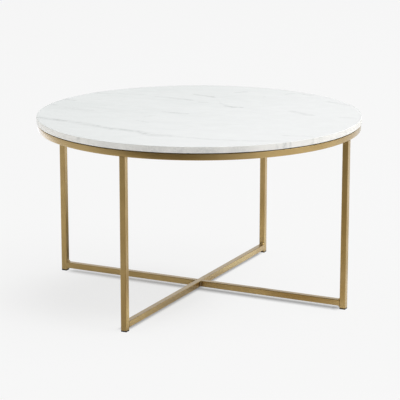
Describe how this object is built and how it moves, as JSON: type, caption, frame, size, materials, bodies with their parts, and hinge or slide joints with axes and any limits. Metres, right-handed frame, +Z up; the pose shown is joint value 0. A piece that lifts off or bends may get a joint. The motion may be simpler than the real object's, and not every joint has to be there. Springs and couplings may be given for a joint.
{
  "type": "side table",
  "caption": "Low round table: a thin marble slab on a square-tube ring with upright legs joined by crossed stretchers near the floor.",
  "frame": {"origin": "centre of the table's footprint, on the floor", "axes": "+Z up through the centre of the top; the long stretcher and the front and back legs lie on the Y axis, front towards -Y; the left and right legs lie on the X axis, right towards +X"},
  "size_m": [0.8, 0.8, 0.45],
  "materials": {
    "marble": "polished white marble with soft grey veins",
    "gold_metal": "satin champagne gold on steel tube",
    "black_plastic": "moulded matte black",
    "pad_rubber": "soft smoke-grey silicone",
    "zinc_steel": "bright zinc plate"
  },
  "bodies": {
    "root": {"marble_top": "marble", "top_ring": "gold_metal", "top_pads": "pad_rubber", "leg_front": "gold_metal", "leg_back": "gold_metal", "leg_left": "gold_metal", "leg_right": "gold_metal", "stretcher_long": "gold_metal", "stretcher_left": "gold_metal", "stretcher_right": "gold_metal", "leg_welds": "gold_metal", "cross_welds": "gold_metal", "leg_plugs": "zinc_steel", "ring_bolts": "zinc_steel", "ring_washers": "zinc_steel", "foot_front": "black_plastic", "foot_back": "black_plastic", "foot_left": "black_plastic", "foot_right": "black_plastic"}
  },
  "joints": []
}
